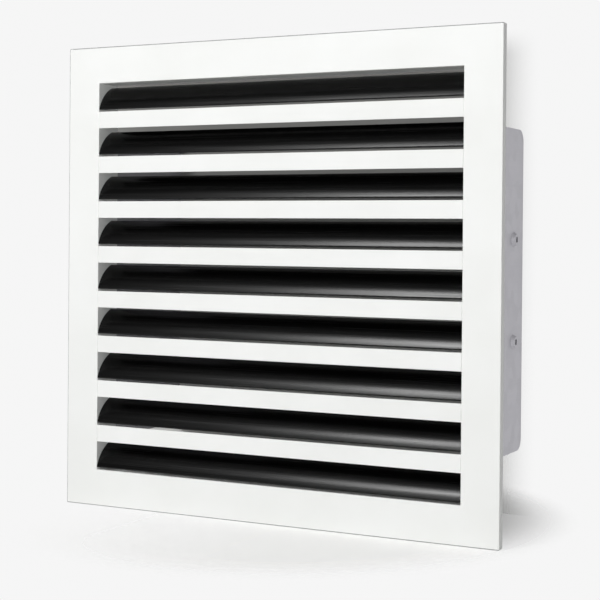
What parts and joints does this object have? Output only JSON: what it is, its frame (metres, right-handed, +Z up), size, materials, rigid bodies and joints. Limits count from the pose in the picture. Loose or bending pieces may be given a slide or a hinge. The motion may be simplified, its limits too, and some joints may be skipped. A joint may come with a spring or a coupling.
{
  "type": "vent cover",
  "caption": "Square white sheet-metal vent cover: flat border, flush horizontal bars, black curved blades behind the slots and grey side plates with dimpled screw holes.",
  "frame": {"origin": "centre of the opening, in the plane where the frame's lip meets the wall", "axes": "+X right seen from the front, +Y into the wall, +Z up; the face looks to -Y"},
  "size_m": [0.3556, 0.1234, 0.3556],
  "materials": {
    "white_paint": "smooth satin powder coat",
    "black_paint": "smooth semi-gloss coat",
    "zinc_plate": "satin zinc coat"
  },
  "bodies": {
    "root": {"face_frame": "white_paint", "face_bar_1": "white_paint", "face_bar_2": "white_paint", "face_bar_3": "white_paint", "face_bar_4": "white_paint", "face_bar_5": "white_paint", "face_bar_6": "white_paint", "face_bar_7": "white_paint", "face_bar_8": "white_paint", "curved_blade_1": "black_paint", "curved_blade_2": "black_paint", "curved_blade_3": "black_paint", "curved_blade_4": "black_paint", "curved_blade_5": "black_paint", "curved_blade_6": "black_paint", "curved_blade_7": "black_paint", "curved_blade_8": "black_paint", "curved_blade_9": "black_paint", "mounting_plate_left": "zinc_plate", "mounting_plate_right": "zinc_plate"}
  },
  "joints": []
}
